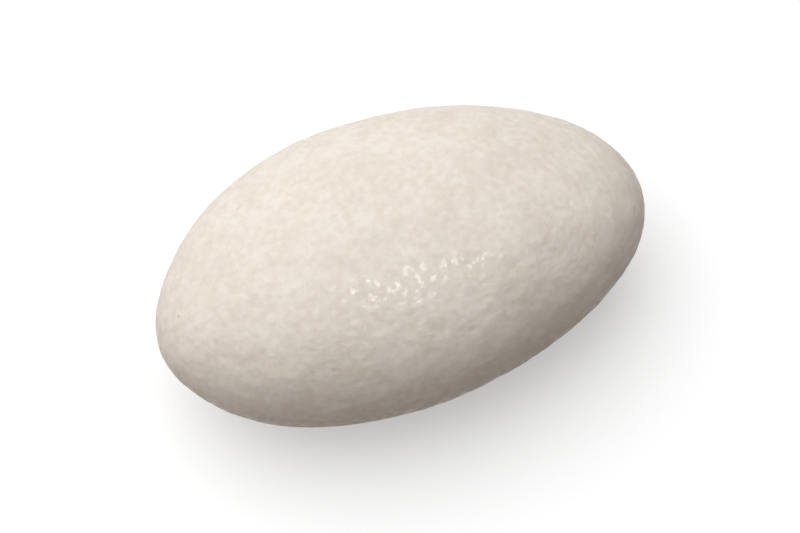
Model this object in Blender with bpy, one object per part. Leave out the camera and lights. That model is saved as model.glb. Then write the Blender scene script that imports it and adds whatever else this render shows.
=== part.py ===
"""A sugared almond: one whole almond inside a hard, white sugar shell, as a single solid.

Run it with blender --background --python part.py, or from Blender's text editor.
Units are metres and +Z is up. The almond lies on its broad side on the ground plane.
X runs along it, towards the narrower half, and Y runs across it, towards the fuller flank.
The origin is on the ground, under the middle of the almond.
"""

import math
import random

import bmesh
import bpy
from mathutils import Matrix, Vector

MM = 0.001

# The three sizes of the finished almond
LENGTH = 30.0 * MM
WIDTH = 18.3 * MM
THICKNESS = 12.4 * MM

# The plan outline, as shares of the width: how it changes with the place along the almond, from -1 to 1
PLAN_TAPER = -0.064
PLAN_PINCH = -0.029
PLAN_TIP = 0.081

# The kernel is bowed, so both ends lie off the middle line, the blunt one further
BOW = 0.50 * MM
SKEW = 0.21 * MM

# Seen from the side, the blunt end is a little thicker, and the upper half than the lower
SIDE_TAPER = -0.030
SIDE_PINCH = -0.020
CROWN_SHARE = 0.515

# The shell is built up in many thin coats, which leave broad, shallow swells and faint dents
SWELL_COUNT = 10
SWELL_LENGTHS = (7.0 * MM, 12.0 * MM)
SWELL_HEIGHT = 0.022 * MM
DENT_COUNT = 18
DENT_RADII = (1.4 * MM, 3.0 * MM)
DENT_DEPTHS = (0.02 * MM, 0.07 * MM)
COATING_SEED = 235

# The spot that it rests on is rubbed flat
REST_DEPTH = 0.16 * MM

# How finely the ball that it is shaped from is divided: each step above 1 splits every triangle into four
SPHERE_STEPS = 5

# A vertex this close to the flat is moved onto it, so that the cut leaves no slivers
LEVEL_MARGIN = 0.035 * MM

# Sugar shell: warm white, a dull satin
SHELL_COLOUR = (0.79, 0.73, 0.65, 1.0)
SHELL_ROUGHNESS = 0.48


def clear_scene():
    for obj in list(bpy.data.objects):
        bpy.data.objects.remove(obj, do_unlink=True)


def make_material(name, colour, roughness):
    material = bpy.data.materials.new(name)
    material.use_nodes = True
    shader = material.node_tree.nodes["Principled BSDF"]
    shader.inputs["Base Color"].default_value = colour
    shader.inputs["Roughness"].default_value = roughness
    shader.inputs["Metallic"].default_value = 0.0
    material.diffuse_color = colour
    return material


def random_direction(draw):
    """A unit vector, drawn evenly from all directions."""
    up = draw.uniform(-1.0, 1.0)
    turn = draw.uniform(0.0, math.tau)
    flat = math.sqrt(1.0 - up * up)
    return Vector((flat * math.cos(turn), flat * math.sin(turn), up))


def draw_coating():
    """The swells (direction, wavelength and phase) and the dents (middle, radius and depth)."""
    draw = random.Random(COATING_SEED)
    swells = []
    for _ in range(SWELL_COUNT):
        swells.append((random_direction(draw), draw.uniform(*SWELL_LENGTHS), draw.uniform(0.0, math.tau)))
    dents = []
    for _ in range(DENT_COUNT):
        middle = plain_form(random_direction(draw))
        dents.append((middle, draw.uniform(*DENT_RADII), draw.uniform(*DENT_DEPTHS)))
    return swells, dents


def plain_form(direction):
    """The point of the smooth almond that lies in a direction from its middle."""
    along, across, up = direction
    plan = 1.0 + PLAN_TAPER * along + PLAN_PINCH * along**2 + PLAN_TIP * along**3
    side = 1.0 + SIDE_TAPER * along + SIDE_PINCH * along**2
    middle_line = -BOW * along**2 + SKEW * along**3
    share = CROWN_SHARE if up > 0.0 else 1.0 - CROWN_SHARE
    return Vector(
        (
            LENGTH / 2 * along,
            WIDTH / 2 * plan * across + middle_line,
            THICKNESS * share * side * up,
        )
    )


def outward(point):
    """The direction straight out of the shell at a point, taken from an ellipsoid of the same size."""
    normal = Vector((point.x / LENGTH**2, point.y / WIDTH**2, point.z / THICKNESS**2))
    return normal.normalized()


def coating_height(point, swells, dents):
    """How far the last coats stand above the smooth form, or below it."""
    height = 0.0
    for direction, wavelength, phase in swells:
        height += SWELL_HEIGHT * math.sin(math.tau * point.dot(direction) / wavelength + phase)
    for middle, radius, depth in dents:
        distance = (point - middle).length
        height -= depth * math.exp(-((distance / radius) ** 2))
    return height


def shape_shell(mesh):
    """Moves the vertices of a unit ball onto the almond's shell."""
    swells, dents = draw_coating()
    for vertex in mesh.verts:
        point = plain_form(vertex.co.normalized())
        vertex.co = point + outward(point) * coating_height(point, swells, dents)


def rub_flat(mesh):
    """Cuts the lowest part off level and closes the cut with one flat face."""
    level = min(vertex.co.z for vertex in mesh.verts) + REST_DEPTH
    bmesh.ops.bisect_plane(
        mesh,
        geom=mesh.verts[:] + mesh.edges[:] + mesh.faces[:],
        dist=LEVEL_MARGIN,
        plane_co=(0.0, 0.0, level),
        plane_no=(0.0, 0.0, -1.0),
        use_snap_center=True,
        clear_outer=True,
    )
    highest = {face: max(vertex.co.z for vertex in face.verts) for face in mesh.faces}
    level_faces = [face for face, height in highest.items() if height < level + LEVEL_MARGIN / 2]
    bmesh.ops.delete(mesh, geom=level_faces, context="FACES")
    rim = [edge for edge in mesh.edges if edge.is_boundary]
    bmesh.ops.holes_fill(mesh, edges=rim, sides=0)


def fit_to_size(mesh):
    """Brings the form to its exact length, width and thickness, standing on the ground over the origin."""
    lows = [min(vertex.co[axis] for vertex in mesh.verts) for axis in range(3)]
    highs = [max(vertex.co[axis] for vertex in mesh.verts) for axis in range(3)]
    foot = Vector(((lows[0] + highs[0]) / 2, (lows[1] + highs[1]) / 2, lows[2]))
    bmesh.ops.translate(mesh, verts=mesh.verts, vec=-foot)
    sizes = (LENGTH, WIDTH, THICKNESS)
    factors = [size / (high - low) for size, high, low in zip(sizes, highs, lows)]
    bmesh.ops.scale(mesh, verts=mesh.verts, vec=factors)


def make_sugared_almond():
    """The whole almond: a ball shaped into the shell, flat where it rests."""
    mesh = bmesh.new()
    bmesh.ops.create_icosphere(mesh, subdivisions=SPHERE_STEPS, radius=1.0, matrix=Matrix.Identity(4))
    shape_shell(mesh)
    rub_flat(mesh)
    fit_to_size(mesh)
    bmesh.ops.recalc_face_normals(mesh, faces=mesh.faces)
    data = bpy.data.meshes.new("sugared_almond")
    mesh.to_mesh(data)
    mesh.free()
    data.shade_smooth()
    data.materials.append(make_material("sugar_shell", SHELL_COLOUR, SHELL_ROUGHNESS))
    almond = bpy.data.objects.new("sugared_almond", data)
    bpy.context.scene.collection.objects.link(almond)
    return almond


def main():
    clear_scene()
    make_sugared_almond()


main()
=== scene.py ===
"""The sugar shell of a sugared almond, with its fine relief and finish, and a plain studio to show it in.

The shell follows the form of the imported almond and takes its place. Units are metres and +Z is up.
X runs along the almond, towards its narrower half, and Y runs across it.
"""

import math
import random
from contextlib import contextmanager

import bpy
from bpy.props import FloatProperty, FloatVectorProperty, IntProperty, PointerProperty
from mathutils import Matrix, Vector
from mathutils.kdtree import KDTree


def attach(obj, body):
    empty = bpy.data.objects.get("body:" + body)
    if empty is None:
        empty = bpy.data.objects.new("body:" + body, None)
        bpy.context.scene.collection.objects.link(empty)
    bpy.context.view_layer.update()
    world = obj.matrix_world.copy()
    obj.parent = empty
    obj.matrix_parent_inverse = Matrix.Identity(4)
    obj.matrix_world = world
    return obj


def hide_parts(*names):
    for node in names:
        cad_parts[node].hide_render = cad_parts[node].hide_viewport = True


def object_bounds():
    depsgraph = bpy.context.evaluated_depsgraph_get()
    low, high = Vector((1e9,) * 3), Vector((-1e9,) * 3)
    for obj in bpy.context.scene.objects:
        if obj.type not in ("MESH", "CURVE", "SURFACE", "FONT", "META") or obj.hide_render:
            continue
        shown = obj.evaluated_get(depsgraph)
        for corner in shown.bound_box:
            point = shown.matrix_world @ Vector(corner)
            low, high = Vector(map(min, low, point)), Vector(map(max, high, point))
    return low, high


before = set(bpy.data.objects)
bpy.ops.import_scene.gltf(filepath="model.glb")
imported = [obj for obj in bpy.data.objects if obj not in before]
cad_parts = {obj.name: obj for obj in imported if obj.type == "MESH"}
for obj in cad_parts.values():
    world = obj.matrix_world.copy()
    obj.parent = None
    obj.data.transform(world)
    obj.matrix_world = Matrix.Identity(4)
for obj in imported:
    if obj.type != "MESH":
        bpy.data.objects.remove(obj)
CAD_LOW, CAD_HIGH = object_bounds()

bl_info = {
    "name": "Sugared Almond",
    "version": (1, 0, 0),
    "blender": (4, 5, 0),
    "location": "View3D > Sidebar > Almond",
    "description": "Models the sugar shell of a sugared almond, and a plain studio to show it in",
    "category": "Add Mesh",
}

MM = 0.001
BODY = "root"
NODE = "sugared_almond"

CAD_MIDDLE = (CAD_LOW + CAD_HIGH) / 2
CAD_SIZE = CAD_HIGH - CAD_LOW

# The net of four-sided faces starts as a cube with this many cuts in each edge. It is evened out a little,
# and each face is then split in four, this many times over.
NET_CUTS = 29
NET_EVENING = 0.5
NET_EVENING_ROUNDS = 2
NET_SPLITS = 2

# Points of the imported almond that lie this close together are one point
MERGE_DISTANCE = 0.001 * MM

# The lowest strip has no relief, so that the shell lies on its flat spot, and the next one up fades it in
REST_CLEAR = 0.05 * MM
REST_FADE = 0.60 * MM

# How many finer noises each cloud pattern adds to its main one
DIMPLE_STEPS = 1
PEEL_STEPS = 2

# Pinholes and covered grains: the smallest and the largest radius of each
RELIEF_SEED = 11
PIT_RADII = (0.16 * MM, 0.34 * MM)
GRAIN_RADII = (0.14 * MM, 0.30 * MM)

# Patches of thicker and thinner coats, and the mottle of crystal clusters on them. The two patterns together
# keep mostly within this range, which is spread out over the two colours.
PATCH_WIDTH = 2.2 * MM
PATCH_SHARE = 0.36
MOTTLE_WIDTH = 0.45 * MM
CREAM_RANGE = (0.37, 0.63)

# Specks: how far apart they are, the radius of the full and the fading part, and how far they tint the sugar
SPECK_SPACING = 3.5 * MM
SPECK_CORE = 0.07 * MM
SPECK_EDGE = 0.15 * MM
SPECK_TINT = 0.45

# The dull ground, and the few spots in it that the tumbling has rubbed smoother: where their pattern is
# within this range, the roughness goes from the one to the other
RUB_WIDTH = 0.40 * MM
RUB_RANGE = (0.52, 0.64)
DULL_ROUGHNESS = 0.60
RUBBED_ROUGHNESS = 0.28

# The bump of the crystals
CRYSTAL_WIDTH = 0.35 * MM
CRYSTAL_DEPTH = 0.017 * MM

# Sugar is a clear crystal, and light goes a few tenths of a millimetre into a mass of fine crystals
SUGAR_IOR = 1.54
DEPTH_SHARE = 0.2
DEPTH_BY_COLOUR = (1.0, 0.85, 0.7)
DEPTH_OF_LIGHT = 0.4 * MM

# Where the camera stood: turned about the almond, raised above it and leaning, in degrees
VIEW_AZIMUTH = -16.4
VIEW_ELEVATION = 64.2
VIEW_ROLL = -4.3
VIEW_DISTANCE = 127.0 * MM
VIEW_LENS_MM = 97.3
VIEW_SENSOR_MM = 36.0
VIEW_SHIFT = -0.0106
VIEW_NEAR = 5.0 * MM
VIEW_FAR = 10.0

# The window is broad and stands behind on the left. The lamp is a narrow strip that hangs in front, nearly
# overhead. Angles are in degrees.
WINDOW_AZIMUTH = 117.5
WINDOW_ELEVATION = 68.8
WINDOW_ANGLE = 80.0
LAMP_AZIMUTH = -68.0
LAMP_ELEVATION = 74.5
LAMP_LEAN = -42.0
LAMP_LENGTH = 250.0 * MM
LAMP_WIDTH = 30.0 * MM
LIGHT_DISTANCE = 400.0 * MM

# The floor is a wide disc, and the card lies just below it
FLOOR_RADIUS = 600.0 * MM
FLOOR_SIDES = 64
CARD_DROP = 0.5 * MM


def linear(code):
    """An sRGB hex colour, such as ebe1d2, as linear red, green and blue, with an alpha of 1."""
    shares = [int(code[start : start + 2], 16) / 255 for start in (0, 2, 4)]
    values = [share / 12.92 if share <= 0.04045 else ((share + 0.055) / 1.055) ** 2.4 for share in shares]
    return (*values, 1.0)


class ALMOND_PG_shell(bpy.types.PropertyGroup):
    """The sizes and colours of the sugar shell."""

    dimple_width: FloatProperty(
        name="Dimple width",
        description="Width of the shallow dimples that the coating pan leaves",
        default=2.6 * MM,
        unit="LENGTH",
    )
    dimple_depth: FloatProperty(
        name="Dimple depth",
        description="Full range of the dimples, from the highest point to the lowest",
        default=0.100 * MM,
        unit="LENGTH",
    )
    peel_width: FloatProperty(
        name="Peel width",
        description="Width of the fine unevenness of the last coats, like the peel of an orange",
        default=0.65 * MM,
        unit="LENGTH",
    )
    peel_depth: FloatProperty(
        name="Peel depth",
        description="Full range of the fine unevenness",
        default=0.040 * MM,
        unit="LENGTH",
    )
    pit_count: IntProperty(
        name="Pits",
        description="Number of pinholes where a bubble or a grain has left the shell",
        default=46,
        min=0,
        subtype="UNSIGNED",
    )
    pit_depth: FloatProperty(
        name="Pit depth",
        description="Depth of the deepest pinhole",
        default=0.030 * MM,
        unit="LENGTH",
    )
    grain_count: IntProperty(
        name="Grains",
        description="Number of sugar grains caught under the last coat",
        default=90,
        min=0,
        subtype="UNSIGNED",
    )
    grain_height: FloatProperty(
        name="Grain height",
        description="Height of the tallest covered grain",
        default=0.014 * MM,
        unit="LENGTH",
    )
    chalk_colour: FloatVectorProperty(
        name="Chalk white",
        description="Colour of the finely crystallised sugar",
        default=linear("eae2d8"),
        size=4,
        subtype="COLOR",
    )
    cream_colour: FloatVectorProperty(
        name="Cream",
        description="Colour where the syrup has dried a little clearer and warmer",
        default=linear("dfd5c9"),
        size=4,
        subtype="COLOR",
    )
    speck_colour: FloatVectorProperty(
        name="Speck",
        description="Colour of the few dull specks in the sugar",
        default=linear("b9a78f"),
        size=4,
        subtype="COLOR",
    )


class ALMOND_PG_studio(bpy.types.PropertyGroup):
    """The lights and the floor."""

    window_strength: FloatProperty(
        name="Window strength",
        description="Strength of the broad soft light from behind on the left",
        default=3.50,
        min=0.0,
        subtype="UNSIGNED",
    )
    lamp_power: FloatProperty(
        name="Lamp power",
        description="Power of the strip lamp nearly overhead, which only adds a highlight",
        default=0.56,
        min=0.0,
        unit="POWER",
    )
    room_strength: FloatProperty(
        name="Room strength",
        description="Brightness of the room as the gloss reflects it",
        default=0.75,
        min=0.0,
        subtype="UNSIGNED",
    )
    floor_colour: FloatVectorProperty(
        name="Floor",
        description="Colour of the floor that the camera and the gloss see",
        default=linear("c4c4c4"),
        size=4,
        subtype="COLOR",
    )
    floor_glow: FloatProperty(
        name="Floor glow",
        description="How far the floor is lit from below, as a light table is",
        default=0.48,
        min=0.0,
        subtype="UNSIGNED",
    )
    card_colour: FloatVectorProperty(
        name="Card",
        description="Colour of the card under the floor that sends light back up onto the almond",
        default=linear("a1958c"),
        size=4,
        subtype="COLOR",
    )


@contextmanager
def edit_mode(obj):
    """Opens one object in edit mode with all of it selected, and closes it again."""
    bpy.ops.object.select_all(action="DESELECT")
    obj.select_set(True)
    bpy.context.view_layer.objects.active = obj
    bpy.ops.object.mode_set(mode="EDIT")
    bpy.ops.mesh.select_all(action="SELECT")
    yield
    bpy.ops.object.mode_set(mode="OBJECT")


def apply_modifier(obj, kind, **settings):
    """Adds a modifier, gives it these settings and applies it."""
    modifier = obj.modifiers.new(kind.lower(), kind)
    for name, value in settings.items():
        setattr(modifier, name, value)
    bpy.context.view_layer.objects.active = obj
    bpy.ops.object.modifier_apply(modifier=modifier.name)


def mesh_box(obj):
    """The lowest and highest corner of a mesh whose object sits at the origin."""
    low = Vector(min(vertex.co[axis] for vertex in obj.data.vertices) for axis in range(3))
    high = Vector(max(vertex.co[axis] for vertex in obj.data.vertices) for axis in range(3))
    return low, high


def fill_box(obj, low, high):
    """Resizes and moves a mesh until it fills the box between two corners."""
    old_low, old_high = mesh_box(obj)
    old_middle = (old_low + old_high) / 2
    ratio = [new / old for new, old in zip(high - low, old_high - old_low)]
    with edit_mode(obj):
        bpy.ops.transform.resize(value=ratio, center_override=old_middle)
        bpy.ops.transform.translate(value=(low + high) / 2 - old_middle)


def copy_form():
    """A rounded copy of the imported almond, for the shell to be wrapped onto."""
    bpy.ops.object.select_all(action="DESELECT")
    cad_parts[NODE].select_set(True)
    bpy.context.view_layer.objects.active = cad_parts[NODE]
    bpy.ops.object.duplicate()
    form = bpy.context.object
    with edit_mode(form):
        bpy.ops.mesh.remove_doubles(threshold=MERGE_DISTANCE)
    apply_modifier(form, "SUBSURF", levels=1, render_levels=1)
    return form


def add_ball():
    """A cube with divided faces, blown up into a ball as large as the almond: an even net with no poles."""
    bpy.ops.object.select_all(action="DESELECT")
    bpy.ops.mesh.primitive_cube_add(size=CAD_SIZE.x, location=CAD_MIDDLE)
    ball = bpy.context.object
    ball.name = ball.data.name = "sugar_shell"
    with edit_mode(ball):
        bpy.ops.mesh.subdivide(number_cuts=NET_CUTS)
        bpy.ops.transform.tosphere(value=1.0)
    bpy.ops.object.transform_apply(location=True, rotation=True, scale=True)
    fill_box(ball, CAD_LOW, CAD_HIGH)
    return ball


def wrap_onto_form(shell):
    """Gives the shell the almond's form, evens out its net and divides it further."""
    form = copy_form()
    apply_modifier(
        shell,
        "SHRINKWRAP",
        target=form,
        wrap_method="PROJECT",
        use_negative_direction=True,
        use_positive_direction=True,
    )
    bpy.data.objects.remove(form, do_unlink=True)
    apply_modifier(shell, "SMOOTH", factor=NET_EVENING, iterations=NET_EVENING_ROUNDS)
    apply_modifier(shell, "SUBSURF", levels=NET_SPLITS, render_levels=NET_SPLITS)


def weigh_by_height(shell):
    """A vertex group that is empty at the flat spot and goes smoothly over to full a little above it."""
    group = shell.vertex_groups.new(name="above_rest")
    for vertex in shell.data.vertices:
        share = (vertex.co.z - CAD_LOW.z - REST_CLEAR) / REST_FADE
        share = min(max(share, 0.0), 1.0)
        group.add([vertex.index], share * share * (3.0 - 2.0 * share), "REPLACE")
    return group.name


def weigh_spots(shell, name, count, radii, draw):
    """A vertex group with round spots scattered over the shell, which fade outwards.

    The widest spots are full in the middle, and smaller ones are fainter in proportion.
    """
    group = shell.vertex_groups.new(name=name)
    vertices = shell.data.vertices
    tree = KDTree(len(vertices))
    for vertex in vertices:
        tree.insert(vertex.co, vertex.index)
    tree.balance()
    for _ in range(count):
        middle = vertices[draw.randrange(len(vertices))].co
        radius = draw.uniform(*radii)
        share = radius / radii[1]
        if middle.z < CAD_LOW.z + REST_FADE:
            continue
        for _, index, distance in tree.find_range(middle, radius):
            fade = 0.5 + 0.5 * math.cos(math.pi * distance / radius)
            group.add([index], share * fade, "REPLACE")
    return group.name


def displace_by_clouds(shell, name, width, depth, steps, group):
    """Raises and lowers the shell along its normals by a cloudy pattern of this width and full range."""
    clouds = bpy.data.textures.new(name, "CLOUDS")
    clouds.noise_basis = "IMPROVED_PERLIN"
    clouds.noise_scale = width / 2
    clouds.noise_depth = steps
    apply_modifier(
        shell,
        "DISPLACE",
        texture=clouds,
        texture_coords="LOCAL",
        mid_level=0.5,
        strength=depth,
        vertex_group=group,
    )
    bpy.data.textures.remove(clouds)


def add_relief(shell, sizes):
    """Dimples, the fine unevenness of the last coats, pinholes and covered grains."""
    draw = random.Random(RELIEF_SEED)
    above_rest = weigh_by_height(shell)
    displace_by_clouds(shell, "dimples", sizes.dimple_width, sizes.dimple_depth, DIMPLE_STEPS, above_rest)
    displace_by_clouds(shell, "peel", sizes.peel_width, sizes.peel_depth, PEEL_STEPS, above_rest)
    pits = weigh_spots(shell, "pits", sizes.pit_count, PIT_RADII, draw)
    apply_modifier(shell, "DISPLACE", mid_level=0.0, strength=-sizes.pit_depth, vertex_group=pits)
    grains = weigh_spots(shell, "grains", sizes.grain_count, GRAIN_RADII, draw)
    apply_modifier(shell, "DISPLACE", mid_level=0.0, strength=sizes.grain_height, vertex_group=grains)
    shell.vertex_groups.clear()


def add_node(tree, kind, settings, inputs):
    """Adds a node, sets its properties, and gives each named input a value or a link."""
    node = tree.nodes.new(kind)
    for name, value in settings.items():
        setattr(node, name, value)
    for name, value in inputs.items():
        if isinstance(value, bpy.types.NodeSocket):
            tree.links.new(value, node.inputs[name])
        else:
            node.inputs[name].default_value = value
    return node


def new_material(name):
    """An empty node material and its output node."""
    material = bpy.data.materials.new(name)
    material.use_nodes = True
    material.node_tree.nodes.clear()
    output = material.node_tree.nodes.new("ShaderNodeOutputMaterial")
    return material, output


def sugar_colour(tree, place, sizes):
    """Chalk white clouded with cream, and a few dull specks."""
    # Patches a couple of millimetres wide, where the coats are a little thicker or thinner
    patches = add_node(
        tree, "ShaderNodeTexNoise", {}, {"Vector": place, "Scale": 1 / PATCH_WIDTH, "Detail": 1.0}
    )
    patch_part = add_node(
        tree, "ShaderNodeMath", {"operation": "MULTIPLY"}, {0: patches.outputs["Fac"], 1: PATCH_SHARE}
    )
    # Mottle about half a millimetre wide: clusters of crystals
    mottle = add_node(
        tree, "ShaderNodeTexNoise", {}, {"Vector": place, "Scale": 1 / MOTTLE_WIDTH, "Detail": 2.0}
    )
    clouds = add_node(
        tree,
        "ShaderNodeMath",
        {"operation": "MULTIPLY_ADD"},
        {0: mottle.outputs["Fac"], 1: 1.0 - PATCH_SHARE, 2: patch_part.outputs["Value"]},
    )
    creaminess = add_node(
        tree,
        "ShaderNodeMapRange",
        {},
        {"Value": clouds.outputs["Value"], "From Min": CREAM_RANGE[0], "From Max": CREAM_RANGE[1]},
    )
    clouded = add_node(
        tree,
        "ShaderNodeMix",
        {"data_type": "RGBA"},
        {
            "Factor": creaminess.outputs["Result"],
            "A": tuple(sizes.chalk_colour),
            "B": tuple(sizes.cream_colour),
        },
    )
    # Specks about 0.2 mm wide and several millimetres apart: crumbs of almond skin in the syrup
    cells = add_node(tree, "ShaderNodeTexVoronoi", {}, {"Vector": place, "Scale": 1 / SPECK_SPACING})
    specks = add_node(
        tree,
        "ShaderNodeMapRange",
        {},
        {
            "Value": cells.outputs["Distance"],
            "From Min": SPECK_CORE / SPECK_SPACING,
            "From Max": SPECK_EDGE / SPECK_SPACING,
            "To Min": SPECK_TINT,
            "To Max": 0.0,
        },
    )
    specked = add_node(
        tree,
        "ShaderNodeMix",
        {"data_type": "RGBA"},
        {
            "Factor": specks.outputs["Result"],
            "A": clouded.outputs["Result"],
            "B": tuple(sizes.speck_colour),
        },
    )
    return specked.outputs["Result"]


def rubbed_finish(tree, place):
    """The roughness: a dull ground with small spots that the tumbling has rubbed smoother."""
    spots = add_node(
        tree, "ShaderNodeTexNoise", {}, {"Vector": place, "Scale": 1 / RUB_WIDTH, "Detail": 1.0}
    )
    roughness = add_node(
        tree,
        "ShaderNodeMapRange",
        {},
        {
            "Value": spots.outputs["Fac"],
            "From Min": RUB_RANGE[0],
            "From Max": RUB_RANGE[1],
            "To Min": DULL_ROUGHNESS,
            "To Max": RUBBED_ROUGHNESS,
        },
    )
    return roughness.outputs["Result"]


def crystal_grain(tree, place):
    """The bump of the crystals. They are finer than 0.1 mm, and are drawn coarser so that they show."""
    crystals = add_node(
        tree, "ShaderNodeTexNoise", {}, {"Vector": place, "Scale": 1 / CRYSTAL_WIDTH, "Detail": 1.0}
    )
    bump = add_node(
        tree, "ShaderNodeBump", {}, {"Height": crystals.outputs["Fac"], "Distance": CRYSTAL_DEPTH}
    )
    return bump.outputs["Normal"]


def panned_sugar(sizes):
    """Hard-panned sugar: many thin coats of syrup, tumbled dry in a pan and left unpolished.

    The fine crystals scatter light just under the surface, so it is a dull, warm white with a soft depth.
    Tumbling rubs small spots a little smoother, which breaks a highlight up into flecks.
    """
    material, output = new_material("panned_sugar")
    tree = material.node_tree
    place = add_node(tree, "ShaderNodeTexCoord", {}, {}).outputs["Object"]
    shader = add_node(
        tree,
        "ShaderNodeBsdfPrincipled",
        {},
        {
            "Base Color": sugar_colour(tree, place, sizes),
            "Roughness": rubbed_finish(tree, place),
            "IOR": SUGAR_IOR,
            "Subsurface Weight": DEPTH_SHARE,
            "Subsurface Radius": DEPTH_BY_COLOUR,
            "Subsurface Scale": DEPTH_OF_LIGHT,
            "Normal": crystal_grain(tree, place),
        },
    )
    tree.links.new(shader.outputs["BSDF"], output.inputs["Surface"])
    return material


class ALMOND_OT_shell(bpy.types.Operator):
    """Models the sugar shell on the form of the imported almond"""

    bl_idname = "almond.shell"
    bl_label = "Sugar Shell"

    def execute(self, context):
        sizes = context.scene.almond_shell
        shell = add_ball()
        wrap_onto_form(shell)
        add_relief(shell, sizes)
        fill_box(shell, CAD_LOW, CAD_HIGH)
        bpy.ops.object.shade_smooth()
        shell.data.materials.append(panned_sugar(sizes))
        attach(shell, BODY)
        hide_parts(NODE)
        return {"FINISHED"}


def light_table(settings):
    """White opal glass, ground matt and lit a little from below, so that shadows on it stay pale."""
    material, output = new_material("light_table")
    tree = material.node_tree
    top = add_node(tree, "ShaderNodeBsdfDiffuse", {}, {"Color": tuple(settings.floor_colour)})
    glow = add_node(tree, "ShaderNodeEmission", {}, {"Strength": settings.floor_glow})
    both = add_node(tree, "ShaderNodeAddShader", {}, {0: top.outputs["BSDF"], 1: glow.outputs["Emission"]})
    tree.links.new(both.outputs["Shader"], output.inputs["Surface"])
    return material


def grey_card(settings):
    """Matt card of a warm grey: even, with no gloss."""
    material, output = new_material("grey_card")
    tree = material.node_tree
    shader = add_node(tree, "ShaderNodeBsdfDiffuse", {}, {"Color": tuple(settings.card_colour)})
    tree.links.new(shader.outputs["BSDF"], output.inputs["Surface"])
    return material


def add_disc(name, height, material):
    """A wide round sheet under the almond, as part of the stage."""
    bpy.ops.object.select_all(action="DESELECT")
    bpy.ops.mesh.primitive_circle_add(
        vertices=FLOOR_SIDES, radius=FLOOR_RADIUS, fill_type="NGON", location=(0.0, 0.0, height)
    )
    disc = bpy.context.object
    disc.name = name
    disc.data.materials.append(material)
    return disc


def add_floor(settings):
    """The floor that the camera and the gloss see, and a card that lights the almond from underneath.

    The floor is as bright as the photograph's white background. That would send too much light back up onto
    the almond, so the darker card does it instead, and the floor throws no shadow on the card.
    """
    floor = add_disc("floor", CAD_LOW.z, light_table(settings))
    floor.visible_diffuse = False
    floor.visible_shadow = False
    card = add_disc("bounce_card", CAD_LOW.z - CARD_DROP, grey_card(settings))
    card.visible_camera = False
    card.visible_glossy = False


def direction(azimuth, elevation):
    """The unit vector towards a place at an azimuth from +X and an elevation, in degrees."""
    turn, rise = math.radians(azimuth), math.radians(elevation)
    return Vector((math.cos(turn) * math.cos(rise), math.sin(turn) * math.cos(rise), math.sin(rise)))


def aim(obj, towards, lean=0.0):
    """Turns a light or a camera so that it looks at a point, leaning over by an angle in degrees."""
    level = (towards - obj.location).to_track_quat("-Z", "Y").to_matrix()
    obj.rotation_euler = (level @ Matrix.Rotation(math.radians(lean), 3, "Z")).to_euler()


def add_window(settings):
    """Broad soft light from behind on the left. It gives no glare, as through a polarising sheet."""
    bpy.ops.object.select_all(action="DESELECT")
    place = CAD_MIDDLE + LIGHT_DISTANCE * direction(WINDOW_AZIMUTH, WINDOW_ELEVATION)
    bpy.ops.object.light_add(type="SUN", location=place)
    window = bpy.context.object
    window.name = "window"
    window.data.energy = settings.window_strength
    window.data.angle = math.radians(WINDOW_ANGLE)
    window.visible_glossy = False
    aim(window, CAD_MIDDLE)


def add_lamp(settings):
    """A strip lamp nearly overhead, which adds only the band of flecks along the almond's back."""
    bpy.ops.object.select_all(action="DESELECT")
    place = CAD_MIDDLE + LIGHT_DISTANCE * direction(LAMP_AZIMUTH, LAMP_ELEVATION)
    bpy.ops.object.light_add(type="AREA", location=place)
    lamp = bpy.context.object
    lamp.name = "lamp"
    lamp.data.shape = "RECTANGLE"
    lamp.data.size = LAMP_LENGTH
    lamp.data.size_y = LAMP_WIDTH
    lamp.data.energy = settings.lamp_power
    lamp.visible_diffuse = False
    aim(lamp, CAD_MIDDLE, LAMP_LEAN)


def add_room(settings):
    """A white room. The camera sees it as plain white paper, and the gloss a little darker than that."""
    world = bpy.data.worlds.new("room")
    bpy.context.scene.world = world
    world.cycles_visibility.diffuse = False
    world.use_nodes = True
    tree = world.node_tree
    tree.nodes.clear()
    seen = add_node(tree, "ShaderNodeLightPath", {}, {}).outputs["Is Camera Ray"]
    strength = add_node(
        tree, "ShaderNodeMapRange", {}, {"Value": seen, "To Min": settings.room_strength, "To Max": 1.0}
    ).outputs["Result"]
    light = add_node(tree, "ShaderNodeBackground", {}, {"Color": linear("ffffff"), "Strength": strength})
    add_node(tree, "ShaderNodeOutputWorld", {}, {"Surface": light.outputs["Background"]})


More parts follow.
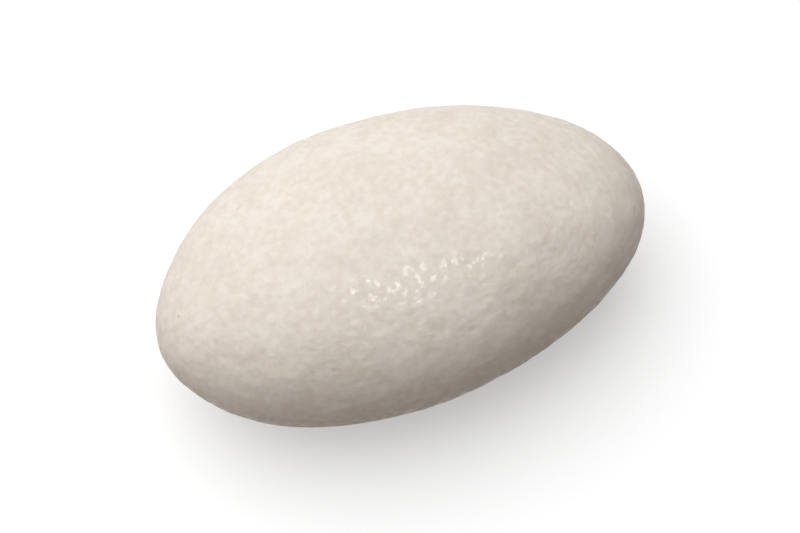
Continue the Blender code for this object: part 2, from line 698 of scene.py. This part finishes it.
def add_camera():
    """A camera where the photograph's stood, aimed at the middle of the almond."""
    turn, rise = math.radians(VIEW_AZIMUTH), math.radians(VIEW_ELEVATION)
    back = Vector((math.sin(turn) * math.cos(rise), -math.cos(turn) * math.cos(rise), math.sin(rise)))
    bpy.ops.object.camera_add(location=CAD_MIDDLE + VIEW_DISTANCE * back)
    camera = bpy.context.object
    aim(camera, CAD_MIDDLE, VIEW_ROLL)
    camera.data.lens = VIEW_LENS_MM
    camera.data.sensor_width = VIEW_SENSOR_MM
    camera.data.shift_y = VIEW_SHIFT
    camera.data.clip_start = VIEW_NEAR
    camera.data.clip_end = VIEW_FAR
    bpy.context.scene.camera = camera


class ALMOND_OT_studio(bpy.types.Operator):
    """Sets up the pale floor, the soft lights and the camera"""

    bl_idname = "almond.studio"
    bl_label = "Studio"

    def execute(self, context):
        settings = context.scene.almond_studio
        context.scene.view_settings.view_transform = "Standard"
        add_floor(settings)
        add_window(settings)
        add_lamp(settings)
        add_room(settings)
        add_camera()
        return {"FINISHED"}


class ALMOND_PT_panel(bpy.types.Panel):
    """The almond's settings and its two makers, in the sidebar"""

    bl_label = "Sugared Almond"
    bl_idname = "ALMOND_PT_panel"
    bl_space_type = "VIEW_3D"
    bl_region_type = "UI"
    bl_category = "Almond"

    def draw(self, context):
        for title, settings, operator in (
            ("Shell", context.scene.almond_shell, ALMOND_OT_shell),
            ("Studio", context.scene.almond_studio, ALMOND_OT_studio),
        ):
            box = self.layout.box()
            box.label(text=title)
            for name in settings.__annotations__:
                box.prop(settings, name)
            box.operator(operator.bl_idname)


CLASSES = (ALMOND_PG_shell, ALMOND_PG_studio, ALMOND_OT_shell, ALMOND_OT_studio, ALMOND_PT_panel)


def register():
    for cls in CLASSES:
        bpy.utils.register_class(cls)
    bpy.types.Scene.almond_shell = PointerProperty(type=ALMOND_PG_shell)
    bpy.types.Scene.almond_studio = PointerProperty(type=ALMOND_PG_studio)


def unregister():
    del bpy.types.Scene.almond_studio
    del bpy.types.Scene.almond_shell
    for cls in reversed(CLASSES):
        bpy.utils.unregister_class(cls)


def main():
    register()
    bpy.ops.almond.shell()
    bpy.ops.almond.studio()


if __name__ == "__main__":
    main()
